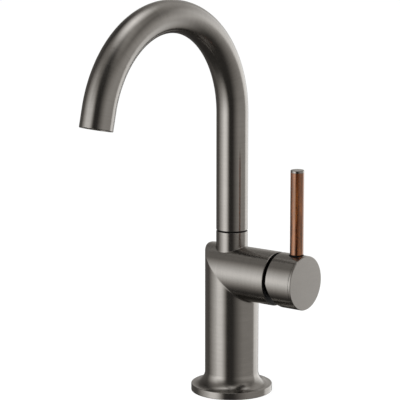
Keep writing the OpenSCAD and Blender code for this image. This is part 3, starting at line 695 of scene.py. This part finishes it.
def makeHub(size):
    shell = newShell()
    drum, face, holes, hollow = range(4)  # its zones
    rows, radius, height, edge = size["rows"], size["radius"], size["height"], size["edge"]
    slope = math.tan(math.radians(size["reliefAngle"]))

    def backEdge(r):
        return size["back"] + np.maximum(0, r * np.cos(fullTurn(rows))) * slope

    recess = {"x": size["leverX"], "radius": size["recessRadius"], "up": 1, "stands": -1,
              "rounding": size["holeEdge"], "halfRows": size["recessRows"], "zone": holes}
    screwHole = {**recess, "radius": size["screwHole"], "up": -1, "halfRows": size["screwRows"]}
    _, skinEnd, *front = roundProfile([
        (radius, size["end"] - runUp, 0), (radius, size["end"], edge), (0, size["end"], 0)])
    back = backEdge(radius)
    left, right, starts = drumSkin(shell, size, back + edge, skinEnd[1], [recess, screwHole], drum)
    rim = [p for p in front if p[0] > radius - edge - tiny]
    ring = endRings(shell, rows, right, rim, height, drum)
    endRings(shell, rows, ring, [(radius - edge - support, size["end"]), (0, size["end"])], height, face)
    ring = left
    for f in quarters:
        new = ringAboutX(shell, rows, back + edge * (1 - f) ** 2, radius - edge * f ** 2, height)
        ring = bridge(shell, ring, new, drum)
    for r in (radius - edge - support, size["hollowRadius"] + support, size["hollowRadius"]):
        ring = bridge(shell, ring, ringAboutX(shell, rows, backEdge(r), r, height), hollow)
    floor = size["back"] + size["hollowDepth"]
    endRings(shell, rows, ring, [(size["hollowRadius"], floor), (0, floor)], height, hollow)
    wallRings(shell, *starts[0], size["leverX"], roundProfile([
        (size["recessRadius"], size["recessFloor"] + size["plainWall"], 0),
        (size["recessRadius"], size["recessFloor"], size["floorEdge"]), (0, size["recessFloor"], 0)]), holes)
    wallRings(shell, *starts[1], size["leverX"], [
        (size["screwHole"], size["screwTop"]), (0, size["screwTop"])], holes)
    return finishShell("handleHub", shell, [
        ((0, 0, height), barrelAxis, 0), (None, upAxis, 1), ((size["leverX"], 0, 0), upAxis, 2),
        ((0, 0, height), barrelAxis, 2)])


hub = makeHub(hubSize)
# the recess, the screw hole, the back face and the hollow take the near-black metal as painted shade
setMaterial(hub, "metal", "endFace", "paintedShadeInside")
place(hub, "handle", "metal", "handle_hub")
print("hub made:", len(hub.data.polygons), "faces")


# The spout's tube is turned straight and then bent.

tubeSize = {
    "radius": 11.1, "bore": 9.6, "seatBore": 10.1, "seatDepth": 11,  # the seat is for the aerator
    "start": 116.4, "riser": 82.1, "bendRadius": 72.2, "turn": 166, "tip": 12.5,  # up, round and on
    "lowEdge": 0.25, "tipEdge": 0.45, "seatEdge": 0.3, "around": 112, "spacing": 1.5,
}


def makeTube(size, tree):
    length = size["riser"] + size["bendRadius"] * math.radians(size["turn"]) + size["tip"]
    top = size["start"] + length
    seat = top - size["seatDepth"]
    shell = turnedShell([
        (size["radius"], size["start"], size["lowEdge"]), (size["radius"], top, size["tipEdge"]),
        (size["seatBore"], top, size["seatEdge"]), (size["seatBore"], seat, 0), (size["bore"], seat, 0),
        (size["bore"], size["start"], size["lowEdge"])],
        size["around"], closed=True, spacing=size["spacing"])
    piece = finishShell("spoutTube", shell, [((0, 0, 0), upAxis, 0)])
    return applyTree(piece, tree, {
        "Riser": (size["start"] + size["riser"]) * mm, "Bend Radius": size["bendRadius"] * mm,
        "Turn": math.radians(size["turn"]), "Material": finishes["metal"]})


tube = makeTube(tubeSize, bendTree())
place(tube, "spout", "metal", "spout_tube")
print("tube bent:", len(tube.data.polygons), "faces")


# The lever is a wooden grip between a metal cap and a black foot ring, on a rod that is a CAD node.

leverSize = {
    # the foot ring stands wider than the grip and rises to woodStart, so its black band is partly painted
    # shade at the grip's foot
    "x": 55.4, "radius": 4.7, "footStart": 103.3, "footRadius": 4.85, "woodStart": 105.3, "woodTop": 162.3,
    "top": 164.1, "rod": 2.6, "footEdge": 0.15, "woodEdge": 0.25, "seamEdge": 0.12, "capEdge": 0.55,
    "boreEdge": 0.1, "around": 96, "spacing": 4,
}


def makeLever(size):
    around, middle, axis = size["around"], (size["x"], 0), [((size["x"], 0, 0), upAxis, 0)]
    radius, rod, seam = size["radius"], size["rod"], size["woodTop"]
    grip = turnedShell([
        (radius, size["woodStart"], size["woodEdge"]), (radius, seam, size["seamEdge"]),
        (rod, seam, size["boreEdge"]), (rod, size["woodStart"], size["boreEdge"])],
        around, closed=True, spacing=size["spacing"], middle=middle)
    cap = turnedShell([
        (radius, seam, 0), (radius, size["top"], size["capEdge"]), (0, size["top"], 0)],
        around, middle=middle)
    foot = turnedShell([
        (size["footRadius"], size["footStart"], size["footEdge"]),
        (size["footRadius"], size["woodStart"], size["footEdge"]),
        (rod, size["woodStart"], 0), (rod, size["footStart"], 0)],
        around, closed=True, middle=middle)
    shells = {"woodGrip": grip, "gripCap": cap, "footRing": foot}
    return [finishShell(name, shell, axis) for name, shell in shells.items()]


def closeCap(piece):
    # one face over the cap's open underside
    build = bmesh.new()
    build.from_mesh(piece.data)
    rim = [e for e in build.edges if len(e.link_faces) == 1]
    bmesh.ops.contextual_create(build, geom=rim)
    bmesh.ops.recalc_face_normals(build, faces=build.faces)
    build.to_mesh(piece.data)
    build.free()


grip, cap, foot = makeLever(leverSize)
closeCap(cap)
setMaterial(grip, "wood")
setMaterial(cap, "cap")
setMaterial(foot, "blackPlastic")
place(grip, "handle", "wood", "wood_sleeve")
place(cap, "handle", "cap_metal", "lever_cap")
place(foot, "handle", "dark_plastic", "foot_ring")
print("lever made")


# The shank is a brass tube, threaded under the deck line, and its thread fades out at both ends.

shankSize = {
    "radius": 15, "bore": 12, "bottom": -58, "top": 16, "threadTop": 0, "pitch": 2, "depth": 1, "fade": 2,
    "endEdge": 0.8, "boreEdge": 0.3, "around": 96, "rowsPerPitch": 8, "skin": 0.05,
}


def makeShank(size, tree):
    shell = turnedShell([
        (size["radius"], size["bottom"], size["endEdge"]), (size["radius"], size["top"], size["endEdge"]),
        (size["bore"], size["top"], size["boreEdge"]), (size["bore"], size["bottom"], size["boreEdge"])],
        size["around"], closed=True, spacing=size["pitch"] / size["rowsPerPitch"])
    piece = finishShell("threadedShank", shell, [((0, 0, 0), upAxis, 0)])
    x, y, z = fetch(piece.data.vertices, "co", 3).reshape(-1, 3).T / mm
    outside = np.hypot(x, y) > size["radius"] - size["skin"]
    ends = np.minimum(z - size["bottom"], size["threadTop"] - z) / size["fade"]
    layer = piece.data.attributes.new("threaded", "FLOAT", "POINT")
    layer.data.foreach_set("value", (outside * np.clip(ends, 0, 1)).astype(np.float32))
    return applyTree(piece, tree, {
        "Pitch": size["pitch"] * mm, "Depth": size["depth"] * mm, "Material": finishes["brass"]})


shank = makeShank(shankSize, threadTree())
place(shank, "root", "brass", "mounting_shank")
print("shank threaded:", len(shank.data.polygons), "faces")


# The other nodes stay as they are, each with its finish.

nodeFinish = {
    "base_gasket": "rubber", "rubber_washer": "rubber", "steel_washer": "steel", "mounting_nut": "brass",
    "jack_screws": "steel", "port_seals": "rubber", "cartridge_base": "ivoryPlastic",
    "disc_seals": "rubber", "fixed_disc": "ceramic", "cartridge_housing": "greyPlasticAndShade",
    # the cartridge nut's darkened steel is painted shade in the gap behind the hub
    "friction_ring": "ivoryPlastic", "cartridge_nut": "shadedNutSteel", "swivel_ring": "blackPlastic",
    # the stem guide and the valve stem show through the gap behind the hub, and their dark finishes are
    # painted shade there
    "snap_ring": "darkSteelAndShade", "stem_guide": "greyPlasticAndShade", "pivot_pin": "steel", "moving_disc": "ceramic",
    "disc_carrier": "bluePlastic", "valve_stem": "darkSteelAndShade", "hub_set_screw": "darkSteelAndShade",
    "lever_rod": "steel", "spout_spigot": "brass", "spout_orings": "rubber", "aerator_gasket": "rubber",
    "flow_disc": "ivoryPlastic", "aerator_housing": "greyPlasticAndShade", "aerator_screen": "ivoryPlastic",
}
for node, finish in nodeFinish.items():
    setMaterial(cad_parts[node], finish)
print("nodes finished:", len(nodeFinish))


# The deck is a wide pale slab. It glows for the camera alone, so it runs into the white backdrop and
# keeps a faint shadow.

deckLook = {
    "radius": 20, "nearRadius": 0.5, "thickness": 0.03,  # in metres
    "around": 64, "colour": (0.80, 0.80, 0.79), "mottle": 4, "shade": 0.98, "roughness": 0.9,
    "glow": 1.08, "glowShare": 0.85,
}


def mixShaders(tree, factor, a, b):
    mix = tree.nodes.new("ShaderNodeMixShader")
    tree.links.new(factor, mix.inputs[0])
    tree.links.new(a.outputs[0], mix.inputs[1])
    tree.links.new(b.outputs[0], mix.inputs[2])
    return mix


def deckMaterial(look):
    material, tree, shader = newMaterial("paleDeck")
    mottle = noise(tree, objectCoordinates(tree), evenly, look["mottle"], detail=2)
    colourFrom(tree, shader, mottle, look["colour"], look["shade"])
    shader.inputs["Roughness"].default_value = look["roughness"]
    glow = tree.nodes.new("ShaderNodeEmission")
    glow.inputs["Strength"].default_value = look["glow"]
    seen = tree.nodes.new("ShaderNodeLightPath")
    share = step(tree, "MULTIPLY", seen.outputs["Is Camera Ray"], look["glowShare"])
    mix = mixShaders(tree, share, shader, glow)
    tree.links.new(mix.outputs[0], tree.nodes["Material Output"].inputs["Surface"])
    return material


def makeDeck(look):
    shell = newShell()
    angles = fullTurn(look["around"])
    near, far, low = look["nearRadius"] / mm, look["radius"] / mm, -look["thickness"] / mm
    outline = ((near, 0), (far, 0), (far, low), (near, low))
    rings = [addRing(shell, circle(angles, r, z)) for r, z in outline]
    for a, b in zip(rings, rings[1:]):
        bridge(shell, a, b, 0)
    closeRing(shell, rings[0], (0, 0, 0), 0)
    closeRing(shell, rings[-1], (0, 0, low), 0)
    deck = finishShell("deck", shell, [((0, 0, 0), upAxis, 0)])
    deck.data.materials.append(deckMaterial(look))
    deck.visible_glossy = False


makeDeck(deckLook)


# Soft boxes and the white backdrop, as the metal sees them: the bearing and height of the middle,
# half the width and height and how far each fades, all in degrees, and the brightness.
softBoxes = [
    {"bearing": -18, "height": -2, "width": 22, "tall": 18, "fadeWide": 17, "fadeTall": 45, "bright": 2.27},
    {"bearing": -34, "height": 5, "width": 17, "tall": 26, "fadeWide": 45, "fadeTall": 45, "bright": 2.13},
    {"bearing": 171, "height": -3, "width": 26, "tall": 24, "fadeWide": 6, "fadeTall": 40, "bright": 1.70},
    {"bearing": 117, "height": 2, "width": 57, "tall": 22, "fadeWide": 33, "fadeTall": 45, "bright": 0.71},
    {"bearing": -177, "height": 41, "width": 41, "tall": 18, "fadeWide": 36, "fadeTall": 16, "bright": 0.53},
    {"bearing": -154, "height": 10, "width": 22, "tall": 16, "fadeWide": 27, "fadeTall": 2, "bright": 0.57},
    {"bearing": -110, "height": -1, "width": 48, "tall": 33, "fadeWide": 14, "fadeTall": 40, "bright": 0.15},
    {"bearing": -41, "height": 59, "width": 48, "tall": 21, "fadeWide": 31, "fadeTall": 17, "bright": 0.30},
    {"bearing": -60, "height": -36, "width": 36, "tall": 12, "fadeWide": 20, "fadeTall": 8, "bright": 0.16},
    {"bearing": 101, "height": 66, "width": 31, "tall": 30, "fadeWide": 38, "fadeTall": 36, "bright": 0.68},
]
ceilingLight = {"bearing": -156, "height": 81, "radius": 17, "fade": 25, "bright": 2.13}
studio = {
    "gloom": 0.047, "dimTint": (1.0, 0.94, 0.87), "brightTint": (1.0, 0.995, 0.99),
    "plainColour": (0.95, 0.97, 1.0), "plainStrength": 0.75,
}


def towards(bearing, height):
    # unit vector to a bearing, from the front round to the right, and a height above level, in degrees
    a, e = math.radians(bearing), math.radians(height)
    return Vector((math.sin(a) * math.cos(e), -math.cos(a) * math.cos(e), math.sin(e)))


def fadeOut(tree, value, half, soft):
    # 1 inside half - soft degrees and 0 outside half + soft
    node = tree.nodes.new("ShaderNodeMapRange")
    node.interpolation_type = "SMOOTHSTEP"
    node.inputs["From Min"].default_value = math.radians(half + soft)
    node.inputs["From Max"].default_value = math.radians(half - soft)
    tree.links.new(value, node.inputs["Value"])
    return node.outputs[0]


def boxLight(tree, way, box):
    turn = tree.nodes.new("ShaderNodeVectorRotate")
    turn.rotation_type = "Z_AXIS"
    turn.inputs["Angle"].default_value = -math.radians(box["bearing"])
    tree.links.new(way, turn.inputs["Vector"])
    split = tree.nodes.new("ShaderNodeSeparateXYZ")
    tree.links.new(turn.outputs[0], split.inputs[0])
    bearing = step(tree, "ARCTAN2", split.outputs[0], step(tree, "MULTIPLY", split.outputs[1], -1.0))
    height = step(tree, "SUBTRACT", step(tree, "ARCSINE", split.outputs[2]), math.radians(box["height"]))
    wide = fadeOut(tree, step(tree, "ABSOLUTE", bearing), box["width"], box["fadeWide"])
    tall = fadeOut(tree, step(tree, "ABSOLUTE", height), box["tall"], box["fadeTall"])
    return step(tree, "MULTIPLY", step(tree, "MULTIPLY", wide, tall), box["bright"])


def roundLight(tree, way, light):
    dot = tree.nodes.new("ShaderNodeVectorMath")
    dot.operation = "DOT_PRODUCT"
    dot.inputs[1].default_value = towards(light["bearing"], light["height"])
    tree.links.new(way, dot.inputs[0])
    off = step(tree, "ARCCOSINE", dot.outputs["Value"])
    return step(tree, "MULTIPLY", fadeOut(tree, off, light["radius"], light["fade"]), light["bright"])


def makeWorld(look):
    # glossy rays see the soft boxes, the camera and rays through glass white, and all others a pale sky
    world = bpy.data.worlds.new("studio")
    bpy.context.scene.world = world
    world.use_nodes = True
    tree = world.node_tree
    tree.nodes.clear()
    way = tree.nodes.new("ShaderNodeTexCoord").outputs["Generated"]
    total = look["gloom"]
    for lit in [boxLight(tree, way, box) for box in softBoxes] + [roundLight(tree, way, ceilingLight)]:
        total = step(tree, "MAXIMUM", total, lit)
    boxes, plain, white = (tree.nodes.new("ShaderNodeBackground") for _ in range(3))
    tree.links.new(blendColours(tree, total, look["dimTint"], look["brightTint"]), boxes.inputs["Color"])
    tree.links.new(total, boxes.inputs["Strength"])
    plain.inputs["Color"].default_value = (*look["plainColour"], 1)
    plain.inputs["Strength"].default_value = look["plainStrength"]
    white.inputs["Color"].default_value = (1, 1, 1, 1)
    seen = tree.nodes.new("ShaderNodeLightPath")
    straight = step(tree, "MAXIMUM", seen.outputs["Is Camera Ray"], seen.outputs["Is Transmission Ray"])
    unseen = mixShaders(tree, seen.outputs["Is Glossy Ray"], plain, boxes)
    sky = mixShaders(tree, straight, unseen, white)
    output = tree.nodes.new("ShaderNodeOutputWorld")
    tree.links.new(sky.outputs[0], output.inputs["Surface"])


makeWorld(studio)

lamps = {
    "keyLamp": {"bearing": -25, "height": 42, "away": 1.6, "size": 1.1, "power": 22},
    "fillLamp": {"bearing": 120, "height": 35, "away": 1.8, "size": 1.2, "power": 10},
}
lampAim = 0.13  # m above the deck


def makeLamp(name, lamp):
    data = bpy.data.lights.new(name, "AREA")
    data.shape, data.size, data.energy = "DISK", lamp["size"], lamp["power"]
    light = bpy.data.objects.new(name, data)
    way = towards(lamp["bearing"], lamp["height"])
    light.location = Vector((0, 0, lampAim)) + way * lamp["away"]
    light.rotation_euler = way.to_track_quat("Z", "Y").to_euler()
    light.visible_glossy = False
    bpy.context.scene.collection.objects.link(light)


for name, lamp in lamps.items():
    makeLamp(name, lamp)

# The camera stands at one bearing and height about the aim point, and faces along another.
view = {
    "bearing": 36.692, "height": 10.585, "away": 1.39538, "aim": 0.136,
    "faceBearing": 37.630, "faceHeight": 10.547, "lens": 179.38, "sensor": 36, "clip": (0.05, 60),
}


def makeCamera(look):
    data = bpy.data.cameras.new("camera")
    data.lens, data.sensor_width = look["lens"], look["sensor"]
    data.clip_start, data.clip_end = look["clip"]
    camera = bpy.data.objects.new("camera", data)
    camera.location = Vector((0, 0, look["aim"])) + towards(look["bearing"], look["height"]) * look["away"]
    camera.rotation_mode = "QUATERNION"
    camera.rotation_quaternion = towards(look["faceBearing"], look["faceHeight"]).to_track_quat("Z", "Y")
    bpy.context.scene.collection.objects.link(camera)
    bpy.context.scene.camera = camera


makeCamera(view)
bpy.context.scene.view_settings.view_transform = "Standard"
print("studio made")
